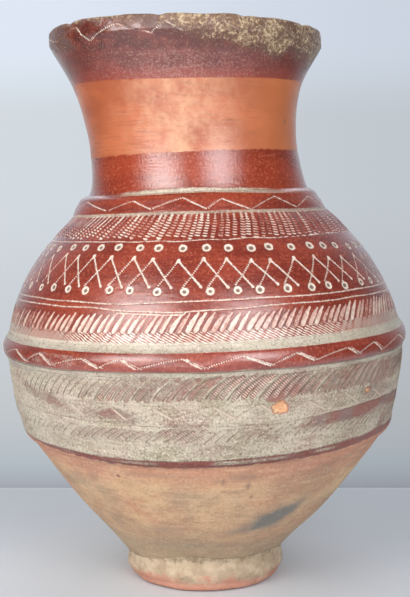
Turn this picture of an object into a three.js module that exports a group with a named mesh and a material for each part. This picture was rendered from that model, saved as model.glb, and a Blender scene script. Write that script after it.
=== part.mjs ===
// A coil-built earthenware water jar with a turned-out rim, three laid-on cordons and a foot ring.
// Millimetres, +Z up, the origin in the middle of the foot's resting face. The neck leans towards -X.
import * as THREE from "three";

// Foot ring, luted under the bowl
const footRestRadius = 68;
const footSwellRadius = 71.5;
const footSwellHeight = 12;
const footSeatRadius = 70.3;
const footSeatHeight = 24;
const footBoreRadius = 50;
const footEdgeRound = 5;
const recessHeight = 12; // from the table to the bowl's underside, on the axis

// Clay thickness and joints
const wall = 9;
const floorThickness = 11;
const slip = 0.3; // film of slip in each luted joint
const scarf = 4; // how much higher a joint ends inside the jar than outside

// Height that each course of clay adds, from the foot up
const bowlRise = 58;
const lowerWallRise = 58;
const lowerBellyRise = 38;
const upperBellyRise = 38;
const lowerShoulderRise = 41;
const middleShoulderRise = 33;
const upperShoulderRise = 44;
const lowerNeckRise = 45;
const middleNeckRise = 52;
const flareRise = 21;

// Outer radius at the top of each course. Courses near the belly are drawn in from its radius.
const bowlTopRadius = 121.3;
const bellyRadius = 175;
const lowerWallInset = 13.3;
const lowerBellyInset = 2.3;
const lowerShoulderInset = 11.4;
const middleShoulderInset = 30.6;
const neckBaseRadius = 103.7;
const neckRadius = 92;
const middleNeckTopRadius = 99.9;
const flareTopRadius = 110.5;

// Rim coil, folded out over the flare
const lipRadius = 119.5;
const lipThickness = 13;
const lipRise = 28;
const lipFaceHeight = 14; // from the flare's top to where the lip's face turns upright
const lipOuterRound = 4;
const lipInnerRound = 5;

// The neck was set on a little to one side, so it leans while the rim stays level
const neckLean = 17.4;
const leanStartsBelowNeck = 16;

// Facets
const segments = 52;
const roundSteps = 2;
const backSteps = 6; // up a cordon's back, which follows the wall

// Cordons, each pressed over a joint of the wall. The section goes up the face, as shares of the
// half height from the middle and of the relief. The +X side sits tiltHeight above the middle.
const cordonEdge = 0.5; // clay left at a cordon's smeared edges
const lowerCordon = {
  halfHeight: 10,
  relief: 3,
  tiltHeight: 5,
  section: [[-1, 0.2], [-0.8, 0.85], [-0.4, 1], [0.2, 0.6], [1, 0]],
};
const bellyCordon = {
  halfHeight: 13,
  relief: 4.2,
  tiltHeight: 6.6,
  section: [[-1, 0], [-0.6, 0.65], [0, 1], [0.6, 0.65], [1, 0]],
};
const collarCordon = {
  halfHeight: 8.5,
  relief: 5,
  tiltHeight: 3.8,
  section: [[-1, 0.1], [-0.5, 0.4], [0.2, 0.85], [0.75, 1], [1, 0.6]],
};

function clay(color, roughness) {
  return new THREE.MeshStandardMaterial({ color, roughness, metalness: 0 });
}
const footClay = () => clay("#cbb69f", 0.9);
const bareClay = () => clay("#c4a287", 0.9);
const chalkyClay = () => clay("#c2af9e", 0.85);
const redSlip = () => clay("#a3584a", 0.45);
const orangeSlip = () => clay("#d8845b", 0.5);
const darkSlip = () => clay("#843f35", 0.4);

// Wall courses from the foot up. Bends shape the outline inside a course, as shares of its rise and
// of its change of radius, and steps is the number of facets up its outer face.
function course(name, rise, topRadius, steps, material, bends = []) {
  return { name, rise, topRadius, steps, material, bends };
}
const courses = [
  course("base_bowl", bowlRise, bowlTopRadius, 4, bareClay(), [[0.24, 0.235]]),
  course("lower_wall_coil", lowerWallRise, bellyRadius - lowerWallInset, 3, bareClay()),
  course("belly_lower_coil", lowerBellyRise, bellyRadius - lowerBellyInset, 3, chalkyClay()),
  course("belly_upper_coil", upperBellyRise, bellyRadius, 3, chalkyClay()),
  course("shoulder_lower_coil", lowerShoulderRise, bellyRadius - lowerShoulderInset, 3, redSlip()),
  course("shoulder_middle_coil", middleShoulderRise, bellyRadius - middleShoulderInset, 3, redSlip()),
  course("shoulder_upper_coil", upperShoulderRise, neckBaseRadius, 7, redSlip(), [[0.636, 0.607]]),
  course("neck_lower_coil", lowerNeckRise, neckRadius, 8, redSlip(), [[0.31, 0.72]]),
  course("neck_middle_coil", middleNeckRise, middleNeckTopRadius, 4, orangeSlip(), [[0.5, 0.28]]),
  course("neck_flare_coil", flareRise, flareTopRadius, 3, darkSlip()),
];

// Points of the jar's outline, and the height at which each course starts and ends
const rings = [new THREE.Vector2(footSeatRadius, footSeatHeight)];
for (const part of courses) {
  const start = rings.at(-1);
  const growth = part.topRadius - start.x;
  for (const [up, out] of part.bends)
    rings.push(new THREE.Vector2(start.x + out * growth, start.y + up * part.rise));
  part.bottom = start.y;
  part.top = start.y + part.rise;
  rings.push(new THREE.Vector2(part.topRadius, part.top));
}
const jointAbove = Object.fromEntries(courses.map((part) => [part.name, part.top]));
const flareTop = rings.at(-1).y;
const lipFace = flareTop + lipFaceHeight;
const jarHeight = flareTop + lipRise;
rings.push(new THREE.Vector2(lipRadius, lipFace));

const outline = new THREE.SplineCurve(rings).getPoints(rings.length * 24);

function radiusAt(z) {
  const above = outline.findIndex((point) => point.y >= z);
  if (above <= 0) return (above < 0 ? outline.at(-1) : outline[0]).x;
  const [low, high] = [outline[above - 1], outline[above]];
  return THREE.MathUtils.mapLinear(z, low.y, high.y, low.x, high.x);
}

function slopeAt(z, reach = 1) {
  const low = Math.max(z - reach, footSeatHeight);
  const high = Math.min(z + reach, lipFace);
  return (radiusAt(high) - radiusAt(low)) / (high - low);
}

function leanAt(z) {
  const start = jointAbove.shoulder_upper_coil - leanStartsBelowNeck;
  const share = THREE.MathUtils.clamp((z - start) / (jarHeight - start), 0, 1);
  return -neckLean * Math.sin((share * Math.PI) / 2);
}

// A point of the wall, as radius and height, at some depth square to the outer face at height z
function wallPoint(z, depth) {
  const slope = slopeAt(z);
  const length = Math.hypot(1, slope);
  return [radiusAt(z) - depth / length, z + (depth * slope) / length];
}

// Evenly spaced numbers from one value to another, both included
function spread(from, to, steps) {
  return Array.from({ length: steps + 1 }, (_, i) => THREE.MathUtils.lerp(from, to, i / steps));
}

function wallPoints(from, to, steps, depth) {
  return spread(from, to, steps).map((z) => wallPoint(z, depth));
}

function arcPoints(radius, height, round, fromDegrees, toDegrees) {
  return spread(fromDegrees, toDegrees, roundSteps)
    .map(THREE.MathUtils.degToRad)
    .map((angle) => [radius + round * Math.cos(angle), height + round * Math.sin(angle)]);
}

// Underside of the bowl over the foot ring's bore
function undersideAt(radius) {
  return recessHeight + (footSeatHeight - recessHeight) * (radius / footSeatRadius) ** 3;
}
const seatRadii = spread(footBoreRadius, footSeatRadius, 2);

// A solid of revolution of the given outline, which then follows a tilt and the neck's lean
function turned(name, profile, material, tiltHeight = 0) {
  const points = profile.map(([radius, height]) => new THREE.Vector2(radius, height));
  const geometry = new THREE.LatheGeometry(points, segments).rotateX(Math.PI / 2);
  const position = geometry.getAttribute("position");
  for (let i = 0; i < position.count; i++) {
    const [x, y, z] = [position.getX(i), position.getY(i), position.getZ(i)];
    const radius = Math.hypot(x, y);
    const height = radius > 0 ? z + (tiltHeight * x) / radius : z;
    const scale = radius > 0 ? 1 + (radiusAt(height) - radiusAt(z)) / radius : 1;
    position.setXYZ(i, x * scale + leanAt(height), y * scale, height);
  }
  geometry.computeVertexNormals();
  const mesh = new THREE.Mesh(geometry, material);
  mesh.name = name;
  return mesh;
}

// A profile that runs round a ring and back to its first point
function closed(profile) {
  return [...profile, profile[0]];
}

function footRing() {
  const seat = seatRadii.toReversed().map((radius) => [radius, undersideAt(radius) - slip]);
  const edge = arcPoints(footRestRadius - footEdgeRound, footEdgeRound, footEdgeRound, -90, 0);
  const profile = [[footBoreRadius, 0], ...edge, [footSwellRadius, footSwellHeight], ...seat];
  return turned("foot_ring", closed(profile), footClay());
}

function baseBowl({ name, bottom, top, steps, material }) {
  const underside = [0, footBoreRadius / 2, ...seatRadii].map((r) => [r, undersideAt(r)]);
  const innerFace = wallPoints(top + scarf, bottom, Math.ceil(steps / 2), wall);
  const floor = [footBoreRadius, footBoreRadius / 2, 0].map((r) => [r, undersideAt(r) + floorThickness]);
  const outerFace = wallPoints(bottom, top, steps, 0).slice(1);
  return turned(name, [...underside, ...outerFace, ...innerFace, ...floor], material);
}

function coil({ name, bottom, top, steps, material }) {
  const outerFace = wallPoints(bottom + slip, top, steps, 0);
  const innerFace = wallPoints(top + scarf, bottom + scarf + slip, Math.ceil(steps / 2), wall);
  return turned(name, closed([...outerFace, ...innerFace]), material);
}

function rimCoil() {
  const face = wallPoints(flareTop + slip, lipFace, 2, 0);
  const mouthRadius = lipRadius - lipThickness;
  const outerEdge = arcPoints(lipRadius - lipOuterRound, jarHeight - lipOuterRound, lipOuterRound, 0, 90);
  const innerEdge = arcPoints(mouthRadius + lipInnerRound, jarHeight - lipInnerRound, lipInnerRound, 90, 180);
  const profile = [...face, ...outerEdge, ...innerEdge, wallPoint(flareTop + scarf + slip, wall)];
  return turned("rim_coil", closed(profile), darkSlip());
}

function cordon(name, middle, { halfHeight, relief, tiltHeight, section }, material) {
  const face = section.map(([up, out]) => {
    const z = middle + up * halfHeight;
    return [radiusAt(z) + slip + cordonEdge + out * (relief - cordonEdge), z];
  });
  const backHeights = spread(middle + halfHeight, middle - halfHeight, backSteps);
  const back = backHeights.map((z) => [radiusAt(z) + slip, z]);
  return turned(name, closed([...face, ...back]), material, tiltHeight);
}

const [bowl, ...coils] = courses;

const jar = new THREE.Group();
jar.name = "water_jar";
jar.add(
  footRing(),
  baseBowl(bowl),
  ...coils.map(coil),
  rimCoil(),
  cordon("lower_cordon", jointAbove.lower_wall_coil, lowerCordon, chalkyClay()),
  cordon("belly_cordon", jointAbove.belly_upper_coil, bellyCordon, redSlip()),
  cordon("collar_cordon", jointAbove.shoulder_upper_coil, collarCordon, redSlip()),
);

export default jar;
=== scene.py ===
import math
from types import SimpleNamespace

import bpy
import numpy as np
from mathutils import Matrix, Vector
from mathutils.bvhtree import BVHTree


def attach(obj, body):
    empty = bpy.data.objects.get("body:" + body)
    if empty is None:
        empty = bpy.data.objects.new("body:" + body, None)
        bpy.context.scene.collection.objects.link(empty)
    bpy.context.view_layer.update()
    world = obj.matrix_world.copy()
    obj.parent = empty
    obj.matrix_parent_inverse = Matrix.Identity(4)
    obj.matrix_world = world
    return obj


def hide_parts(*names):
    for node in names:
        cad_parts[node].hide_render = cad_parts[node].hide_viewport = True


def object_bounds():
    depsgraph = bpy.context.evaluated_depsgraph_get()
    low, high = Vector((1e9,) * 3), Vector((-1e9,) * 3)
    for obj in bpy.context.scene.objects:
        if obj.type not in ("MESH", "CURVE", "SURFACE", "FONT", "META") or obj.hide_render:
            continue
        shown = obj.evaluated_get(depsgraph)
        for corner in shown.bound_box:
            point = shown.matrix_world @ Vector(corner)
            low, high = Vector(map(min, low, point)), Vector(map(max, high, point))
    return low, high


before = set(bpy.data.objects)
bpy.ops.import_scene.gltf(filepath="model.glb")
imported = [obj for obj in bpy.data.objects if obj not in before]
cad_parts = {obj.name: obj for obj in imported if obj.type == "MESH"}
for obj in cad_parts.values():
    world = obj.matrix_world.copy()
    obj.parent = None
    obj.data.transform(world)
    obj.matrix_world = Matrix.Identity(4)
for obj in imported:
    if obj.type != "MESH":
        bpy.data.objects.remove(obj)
cad_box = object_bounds()

# A coil-built earthenware jar with a slipped, burnished and incised body. Lengths are in millimetres
# until the meshes are made. Angles are in degrees from the photographed side, -Y, towards +X.
MM = 0.001
JAR_HEIGHT = cad_box[1].z / MM

# Camera, as fitted to the photograph
CAMERA_DISTANCE = 953.5
CAMERA_HEIGHT = 334.5
CAMERA_PITCH = 5.23
CAMERA_LENS = 64.35

# Courses of clay with the height of their tops, the finish of each, and the columns of its mesh and the
# spacing of its rows
FOOT_SEAT = 24
COURSES = {
    name: dict(top=top, slot=slot, columns=columns, spacing=spacing)
    for name, top, slot, columns, spacing in (
        ("base_bowl", 82, "bare_clay", 720, 1.6),
        ("lower_wall_coil", 140, "bare_clay", 960, 1.3),
        ("belly_lower_coil", 178, "chalky_clay", 1320, 0.75),
        ("belly_upper_coil", 216, "chalky_clay", 1320, 0.75),
        ("shoulder_lower_coil", 257, "red_slip", 1320, 0.75),
        ("shoulder_middle_coil", 290, "red_slip", 1320, 0.7),
        ("shoulder_upper_coil", 334, "red_slip", 1200, 0.85),
        ("neck_lower_coil", 379, "red_slip", 720, 1.1),
        ("neck_middle_coil", 431, "orange_slip", 600, 1.4),
        ("neck_flare_coil", 452, "dark_slip", 720, 1.1),
    )
}
OUTLINE_BENDS = (38, 318, 348, 405)
LIP_FACE = 466
WALL = 9
SLIP = 0.3
SCARF = 4
NECK_LEAN = 17.4
LEAN_START = 318

# Foot ring and floor
FOOT_REST = 68
FOOT_SWELL = 71.5
FOOT_SWELL_HEIGHT = 12
FOOT_SEAT_RADIUS = 70.3
FOOT_BORE = 50
FOOT_EDGE = 5
GROOVE_REACH = 60  # up to here the groove over the foot moves the wall
RECESS = 12
FLOOR = 11

# Lip
LIP_RADIUS = 119.5
LIP_THICKNESS = 13
LIP_OUTER_ROUND = 4
LIP_INNER_ROUND = 5
MOUTH_SLIP = 446  # down to here the inside has slip

# Strips over the joints, with the tilt of each, and its relief as shares from its lower to its upper edge
CORDONS = {
    "lower_cordon": dict(slot="chalky_clay", columns=1320, middle=140, half=10, relief=3, tilt=(4.2, 2.5),
                         section=(0.15, 0.85, 1, 0.95, 0.75, 0.5, 0.25, 0.1, 0)),
    "belly_cordon": dict(slot="red_slip", columns=1320, middle=216, half=13, relief=4.2, tilt=(6.8,),
                         section=(0, 0.25, 0.7, 0.95, 1, 0.95, 0.7, 0.25, 0)),
    "collar_cordon": dict(slot="red_slip", columns=1200, middle=334, half=8.5, relief=5, tilt=(3.8,),
                          section=(0.02, 0.3, 0.5, 0.68, 0.8, 0.9, 1, 0.95, 0.3)),
}

# Marks
FAR = 9.0  # at this distance a mark no longer shows
MARK_EDGE = 3  # distances to the edges of marks and chips are kept up to this one
TOOTH_PITCH = 1.9  # of the potter's comb


def sin(angle):
    return np.sin(np.radians(angle))


def cos(angle):
    return np.cos(np.radians(angle))


def wrap(angle):
    return (angle + 180) % 360 - 180


def fade(value, start, end):
    """From 0 at start to 1 at end, with soft ends."""
    share = np.clip((value - start) / (end - start), 0, 1)
    return share * share * (3 - 2 * share)


def ridge(value, start, top, top_end, end):
    """From 0 at start to 1 at top, and from 1 at top_end back to 0 at end."""
    return fade(value, start, top) * fade(value, end, top_end)


def bump(angle, middle, width):
    """A swell of 1 at the middle angle that dies out over the width."""
    return np.exp(-((wrap(angle - middle) / width) ** 2))


def lean(height):
    """How far the jar's axis lies towards +X at a height."""
    share = np.clip((height - LEAN_START) / (JAR_HEIGHT - LEAN_START), 0, 1)
    return -NECK_LEAN * np.sin(share * np.pi / 2)


def solid_wall():
    """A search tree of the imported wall, without the cordons."""
    points, faces = [], []
    for name in [*COURSES, "rim_coil"]:
        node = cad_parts[name]
        first = len(points)
        points += [node.matrix_world @ v.co for v in node.data.vertices]
        faces += [[first + i for i in polygon.vertices] for polygon in node.data.polygons]
    return BVHTree.FromPolygons(points, faces)


def measured_outline():
    """Heights and outer radii of the wall, on a smooth curve through the rings of the solids."""
    tree = solid_wall()
    tops = [course["top"] for course in COURSES.values()]
    rings = []
    for height in sorted([FOOT_SEAT, *tops, *OUTLINE_BENDS, LIP_FACE]):
        level = max(height - SLIP / 2, FOOT_SEAT + SLIP / 2)
        hit = tree.ray_cast(Vector((lean(level) * MM, -1, level * MM)), Vector((0, 1, 0)))[0]
        rings.append((-hit.y / MM, height))
    points = np.array([rings[0], *rings, rings[-1]])
    share = np.linspace(0, 1, 24, endpoint=False)[:, None]
    curve = []
    for before, start, end, after in zip(points, points[1:], points[2:], points[3:]):
        leaving, arriving = (end - before) / 2, (after - start) / 2
        cubic = 2 * start - 2 * end + leaving + arriving
        square = 3 * end - 3 * start - 2 * leaving - arriving
        curve.append(cubic * share**3 + square * share**2 + leaving * share + start)
    curve = np.vstack([*curve, points[-1:]])
    return curve[:, 1], curve[:, 0]


outline_heights, outline_radii = measured_outline()
outline_steps = np.hypot(np.diff(outline_heights), np.diff(outline_radii))
outline_lengths = np.concatenate([[0], np.cumsum(outline_steps)])


def wall_radius(height):
    return np.interp(height, outline_heights, outline_radii)


def along(height):
    """Length of the outline from the foot up to a height, and straight on up the lip."""
    return np.interp(height, outline_heights, outline_lengths) + np.maximum(height - LIP_FACE, 0)


def wall_point(height, depth):
    """Radius and height of points at some depth square to the wall's outer face."""
    low = np.maximum(height - 1, FOOT_SEAT)
    high = np.minimum(height + 1, LIP_FACE)
    slope = (wall_radius(high) - wall_radius(low)) / (high - low)
    length = np.hypot(1, slope)
    return wall_radius(height) - depth / length, height + depth * slope / length


def undulation(angle, height, seed, turns, wave=1e9, count=12):
    """Unevenness from about -1 to 1, with up to `turns` swells round and `wave` mm or more up."""
    draw = np.random.default_rng(seed)
    total = 0
    for _ in range(count):
        around = draw.integers(1, turns + 1)
        upward = draw.uniform(-1, 1) * 2 * np.pi / wave
        total = total + np.cos(np.radians(around * angle) + upward * height + draw.uniform(0, 2 * np.pi))
    return total / count**0.5


def level(angle, height, tilt, sides=0):
    """Height of a line drawn round the jar, `tilt` higher towards +X and `sides` higher at both sides."""
    return height + tilt * sin(angle) + sides * sin(angle) ** 2


# What is known of the marks at a point, with the value where there are none: the distances to a white
# and to a dark mark; how full the white one is, the length along its comb teeth and how far they cut
# into it; the depth of the relief; and how far the crust is scraped off
MARKS = dict(white=FAR, dark=FAR, fill=0.0, comb=0.0, combed=0.0, depth=0.0, scraped=0.0)


class Surface:
    """Points of outer faces, as flat arrays: angle, height, radius and length along the outline."""

    def __init__(self, angle, height, radius, rise, **marks):
        self.angle, self.height, self.radius, self.rise = angle, height, radius, rise
        for name, plain in MARKS.items():
            setattr(self, name, marks.get(name, np.full(angle.shape, plain)))

    def part(self, chosen):
        return Surface(**{name: values[chosen] for name, values in vars(self).items()})

    def take(self, chosen, other):
        for name in MARKS:
            getattr(self, name)[chosen] = getattr(other, name)

    def from_line(self, height):
        return np.abs(self.rise - along(height))

    def from_place(self, angle, height):
        """Lengths round and up the outer face from one place on it."""
        return np.radians(wrap(self.angle - angle)) * self.radius, self.rise - along(height)

    def incise(self, gap, fill=1.0, depth=0.5, comb=0.0, combed=0.0, scraped=0.0):
        """Cuts marks whose edge is `gap` away and fills them with white. Comb teeth cross the marks
        where `comb` runs along them, `combed` deep into their width, and scrape the crust away."""
        closer = gap < self.white
        for name, value in dict(white=gap, fill=fill, comb=comb, combed=combed).items():
            setattr(self, name, np.where(closer, value, getattr(self, name)))
        self.depth = np.maximum(self.depth, depth * fade(-gap, -0.2, 0.7))
        self.scraped = np.maximum(self.scraped, scraped * fade(-gap, -0.8, 0.2))

    def scratch(self, gap, depth=0.5):
        """Cuts marks that stay dark. Some of them are painted shadows beside pale strokes and under the
        belly cordon.
        """
        self.dark = np.minimum(self.dark, gap)
        self.depth = np.maximum(self.depth, depth * fade(-gap, -0.3, 0.5))

    def nearest(self, strokes, reach=2, bow=0.0):
        """Distance to the nearest stroke, which may bow to its left, with the share along it, its length
        and its number."""
        angle, height, end_angle, end_height = strokes
        turn = wrap(end_angle - angle)
        run = np.radians(turn) * wall_radius((height + end_height) / 2)
        start = along(height)
        lift = along(end_height) - start
        length = np.hypot(run, lift)
        middle = wrap(angle + turn / 2)
        order = np.argsort(middle)
        place = np.searchsorted(middle[order], self.angle)
        near = SimpleNamespace(gap=np.full(self.angle.shape, np.inf), share=0.0, number=0)
        for step in range(-reach, reach):
            k = order[(place + step) % len(order)]
            across = np.radians(wrap(self.angle - angle[k])) * self.radius
            climb = self.rise - start[k]
            way = (across * run[k] + climb * lift[k]) / length[k] ** 2
            share = np.clip(way, 0, 1)
            beside = (across * lift[k] - climb * run[k]) / length[k] + bow * 4 * share * (1 - share)
            gap = np.hypot((way - share) * length[k], beside)
            closer = gap < near.gap
            near.gap = np.where(closer, gap, near.gap)
            near.share = np.where(closer, share, near.share)
            near.number = np.where(closer, k, near.number)
        near.length = length[near.number]
        return near


def teeth(face, tilt):
    """A length that runs square to straight comb teeth, which fall to the right by `tilt` degrees."""
    across = np.radians(face.angle) * wall_radius(face.height.mean())
    return face.rise * cos(tilt) + across * sin(tilt)


def spaced(count, first, jitter, seed):
    """Angles spaced round the jar by hand."""
    draw = np.random.default_rng(seed)
    return first + 360 / count * np.arange(count) + draw.uniform(-jitter, jitter, count)


def zigzag(front, count, seed, top, bottom):
    """Falling and rising strokes between two lines round the jar. The peaks and troughs of the
    photographed side are given, and the others follow evenly."""
    draw = np.random.default_rng(seed)
    more = count - len(front)
    peak, trough = np.array(front, float).T
    step = (360 + peak[0] - peak[-1]) / (more + 1)
    behind = peak[-1] + step * np.arange(1, more + 1) + draw.uniform(-1.5, 1.5, more)
    peak = np.concatenate([peak, behind])
    trough = np.concatenate([trough, behind + 0.45 * step])
    high = top(peak) + draw.uniform(-0.8, 0.8, count)
    low = bottom(trough) + draw.uniform(-0.8, 0.8, count)
    falling = (peak, high, trough, low)
    rising = (trough, low, np.roll(peak, -1), np.roll(high, -1))
    return falling, rising


def draw_zigzag(face, strokes, half, fill):
    """Falling strokes are cut with a point and rising ones with the edge of a comb."""
    falling, rising = strokes
    face.incise(face.nearest(falling, 1).gap - half, fill)
    near = face.nearest(rising, 1, 0.8)
    face.incise(near.gap - half, fill * 0.95, 0.5, near.share * near.length, 0.9)


def beside_falling(face, strokes, shift, end_shift):
    """Distance to falling strokes moved some degrees to the right, more or less at their ends."""
    angle, height, end_angle, end_height = strokes[0]
    return face.nearest((angle + shift, height, end_angle + end_shift, end_height), 1).gap


def rim_zigzag(face):
    front = ((-46.6, -40.3), (-26.2, -12.1), (-6.4, 0.5), (15, 23), (42, 50))
    lines = zigzag(front, 13, 3, lambda a: 472.8 + 0 * a, lambda a: 460 + 4.4 * fade(a, -40, 0))
    draw_zigzag(face, lines, 0.65, 0.95 - 0.8 * bump(face.angle, -19, 6) - 0.9 * bump(face.angle, -56, 8))


def collar_zigzag(face):
    front = ((-63.5, -44), (-30.8, -21.4), (-7.7, 2), (9.1, 20.8), (35.3, 46.3))
    lines = zigzag(front, 14, 6, lambda a: level(a, 336.8, 2.5), lambda a: level(a, 328.3, 2))
    draw_zigzag(face, lines, 0.6, 0.85)


def belly_zigzag(face):
    front = ((-46.7, -41.7), (-31.5, -26.8), (-20.9, -16.7), (-5.3, -0.5), (9.3, 16), (22.8, 27.7),
             (38.3, 42), (49, 53))
    lines = zigzag(front, 25, 4, lambda a: level(a, 219, 6), lambda a: level(a, 211.5, 5.5))
    draw_zigzag(face, lines, 0.55, 0.88)
    face.incise(beside_falling(face, lines, 0.9, 1.5) - 0.35, 0.75)


def low_zigzag(face):
    front = ((-48.2, -44.5), (-37.1, -32.9), (-24.6, -20.4), (-12.6, -8.1), (2, 7.7), (14, 19))
    lines = zigzag(front, 29, 5, lambda a: level(a, 180.8, 5.5), lambda a: level(a, 171.4, 5))
    draw_zigzag(face, lines, 0.75, 0.85 - 0.2 * bump(face.angle, 0, 6))
    # A dark line beside each falling stroke: painted shadow, over a shallow cut.
    face.scratch(beside_falling(face, lines, 0.6, 0.6) - 0.2, 0.6)


def upper_hatch(face, count=138):
    """Close strokes of a narrow comb between the shoulder's fine line and the collar."""
    foot = spaced(count, 0, 0.3, 11)
    slant = 1.9 + 4.2 * np.clip(-sin(foot), 0, 1)
    draw = np.random.default_rng(12)
    low = level(foot, 307.3, 2.6) + draw.uniform(-0.5, 0.5, count)
    near = face.nearest((foot, low, foot + slant, level(foot, 325, 3)), 3)
    wider, shift, fuller = draw.uniform(-1, 1, (3, count))[:, near.number]
    left = fade(-sin(face.angle), 0.25, 0.8)
    plain = np.maximum(left * fade(near.share, 0.3, 0.55), 0.8 * fade(near.share, 0.6, 0.85))
    half = 1.9 - 1.0 * plain - 0.3 * left + 0.3 * wider
    fill = 0.62 + 0.2 * fade(near.share, 0.16, 0.03) + 0.25 * fuller - 0.25 * fade(sin(face.angle), 0.3, 0.9)
    comb = near.share * near.length * 0.7 + 0.5 * shift
    face.incise(near.gap - half, fill, 0.35, comb, 2.5 * (1 - plain))


def shoulder_line(face):
    height = level(face.angle, 305.0, 4.5, 0.45) + 0.25 * undulation(face.angle, 0, 13, 25)
    face.incise(face.from_line(height) - 0.45, 0.75, 0.4)


def stamps(face, angle, height, seed):
    """Circles stamped with a cut reed."""
    draw = np.random.default_rng(seed)
    count = len(angle)
    height = height + draw.uniform(-0.8, 0.8, count)
    wide = draw.uniform(-0.25, 0.3, count)
    order = np.argsort(wrap(angle))
    place = np.searchsorted(wrap(angle)[order], face.angle)
    gap = np.full(face.angle.shape, FAR)
    for step in (-1, 0):
        k = order[(place + step) % count]
        gap = np.minimum(gap, np.hypot(*face.from_place(angle[k], height[k])) - wide[k])
    face.incise(np.abs(gap - 2.5) - 0.95, 1.0, 0.5)
    face.scratch(gap - 1.35, 0.9)


LATTICE = 49  # stamps and strokes round the shoulder
lattice_tips = spaced(LATTICE, -0.9, 0.9, 21)


def upper_stamps(face):
    stamps(face, lattice_tips + 0.9, level(lattice_tips, 299.5, 1.3, -2.7), 22)


def lattice(face):
    """Crossed strokes: those that rise to the right are combed, the others end in a deep jab."""
    draw = np.random.default_rng(23)
    tip = lattice_tips
    high = 291 + draw.uniform(-1.2, 1.2, LATTICE)
    left = tip - 6.0 + draw.uniform(-0.5, 0.5, LATTICE)
    right = tip + 6.7 + draw.uniform(-0.5, 0.5, LATTICE)
    low = level(tip, 270.5, 2.5) + draw.uniform(-0.8, 0.8, LATTICE)
    near = face.nearest((tip, high, left, low), 2, 0.5)
    knob = 0.7 * fade(near.share, 0.1, 0.02)
    combed = 0.55 * fade(near.share, 0.08, 0.2)
    face.incise(near.gap - 0.65 - knob, 0.78, 0.45, near.share * near.length, combed)
    near = face.nearest((tip, high - 0.8, right, low))
    knob = 0.4 * fade(near.share, 0.08, 0.02) + 0.4 * fade(near.share, 0.93, 0.98)
    face.incise(near.gap - 0.65 - knob, 0.88, 0.5)


def lower_stamps(face):
    stamps(face, lattice_tips - 5.2, level(lattice_tips, 267.3, 2.4), 24)


def double_line(face):
    angle = face.angle
    upper = level(angle, 260.8, 5) - 1.8 * bump(angle, -24, 17) + 0.25 * undulation(angle, 0, 25, 25)
    lower = level(angle, 255.8, 4.3) - 3.2 * bump(angle, -8, 18) + 0.25 * undulation(angle, 0, 26, 25)
    third = lower - 2 + 9 * fade(np.abs(angle + 15), 9, 13)
    for height in (upper, lower, np.minimum(third, lower)):
        face.incise(face.from_line(height) - 0.48, 0.78, 0.4)


LEAVES = 166  # round the lower shoulder
leaf_feet = spaced(LEAVES, 0, 0.28, 32)


def leaf_strokes(face):
    """Leaf-shaped strokes with round feet and narrow tops, under which each has a stack of teeth."""
    draw = np.random.default_rng(31)
    low = level(leaf_feet, 239, 6.7)
    high = level(leaf_feet, 251, 6) + draw.uniform(-1.2, 1.2, LEAVES)
    top = leaf_feet + 2.7 + 0.8 * sin(leaf_feet)
    near = face.nearest((leaf_feet, low, top, high), 2, 0.4)
    wider, fuller = draw.uniform(-1, 1, (2, LEAVES))[:, near.number]
    half = (1.8 + 0.25 * wider) * (1 - 0.55 * fade(near.share, 0.45, 1.0))
    shade = 0.12 * fade(face.angle, -20, -50)
    face.incise(near.gap - half, 0.58 - shade + 0.16 * fuller, 0.4)
    # A dark line along the lower right of each stroke: painted shadow, over a shallow cut.
    near = face.nearest((leaf_feet + 1.0, low, top + 0.8, high - 0.5))
    face.scratch(near.gap - 0.5 * (1 - 0.7 * near.share), 0.6)


def leaf_combing(face):
    low = level(leaf_feet, 230.8, 6.2)
    high = level(leaf_feet, 236, 6.5)
    near = face.nearest((leaf_feet - 2.4, low, leaf_feet - 1.0, high))
    broken = 0.18 * undulation(face.angle, face.height, 33, 180, 6, 24)
    face.incise(near.gap - 2.6, 0.84 + broken, 0.25, teeth(face, 28) + broken, 2.6)


def patches(face, seed, depth):
    """From 1 down to 1 - 2 * depth, in patches."""
    return 1 - depth + depth * np.clip(undulation(face.angle, face.height, seed, 12, 60), -1, 1)


def herringbone(face, count=136):
    """Bowed cuts through the crust, with comb teeth laid across them at the front and right."""
    draw = np.random.default_rng(41)
    foot = spaced(count, 0, 0.4, 42)
    low = level(foot, 187, 4.6) + draw.uniform(-1.2, 1.2, count)
    high = level(foot, 204.5, 5, -1.5) + draw.uniform(-1, 1, count)
    patchy = patches(face, 46, 0.18)
    combed = fade(face.angle + (200 - face.height), -32, -6) * fade(face.angle, 175, 150)
    worn = patchy * (0.22 + 0.55 * combed) * fade(np.abs(face.angle - 22), 110, 50)
    near = face.nearest((foot + 1.5, low + 1, foot + 6.8, high - 1), 4, 1.5)
    half = (0.9 + 1.1 * combed) * (1 - 0.3 * near.share)
    fill = (0.32 + 0.2 * combed) * patchy
    face.incise(near.gap - half, fill, 0.4, teeth(face, 40) * 1.05, 2.6 * combed, worn)
    # A dark line beside each pale stroke: painted shadow, over a shallow cut.
    near = face.nearest((foot, low, foot + 5.8, high), 4, 1.5)
    face.scratch(near.gap - 0.22 - 0.35 * (1 - near.share), 0.8)


def belly_lines_and_cordon_shadow(face):
    """Fine lines that the potter drew to set out the bands of the belly, and a dark line that is painted
    shadow under the belly cordon's lower edge.
    """
    angle = face.angle
    wander = 0.4 * undulation(angle, 0, 48, 20)
    face.scratch(face.from_line(level(angle, 204.2, 5) + wander) - 0.22, 0.4)
    face.scratch(face.from_line(level(angle, 182.2, 2.5) + wander) - 0.2 * fade(wander, -0.4, 0), 0.3)
    # A dark line along the belly cordon's lower edge: painted shadow, over a shallow cut.
    face.scratch(face.from_line(level(angle, 207.9, 5.4) + wander) - 0.55, 0.8)


def low_line_height(angle):
    return 166 + 10 * bump(angle, 60, 33)


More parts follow.
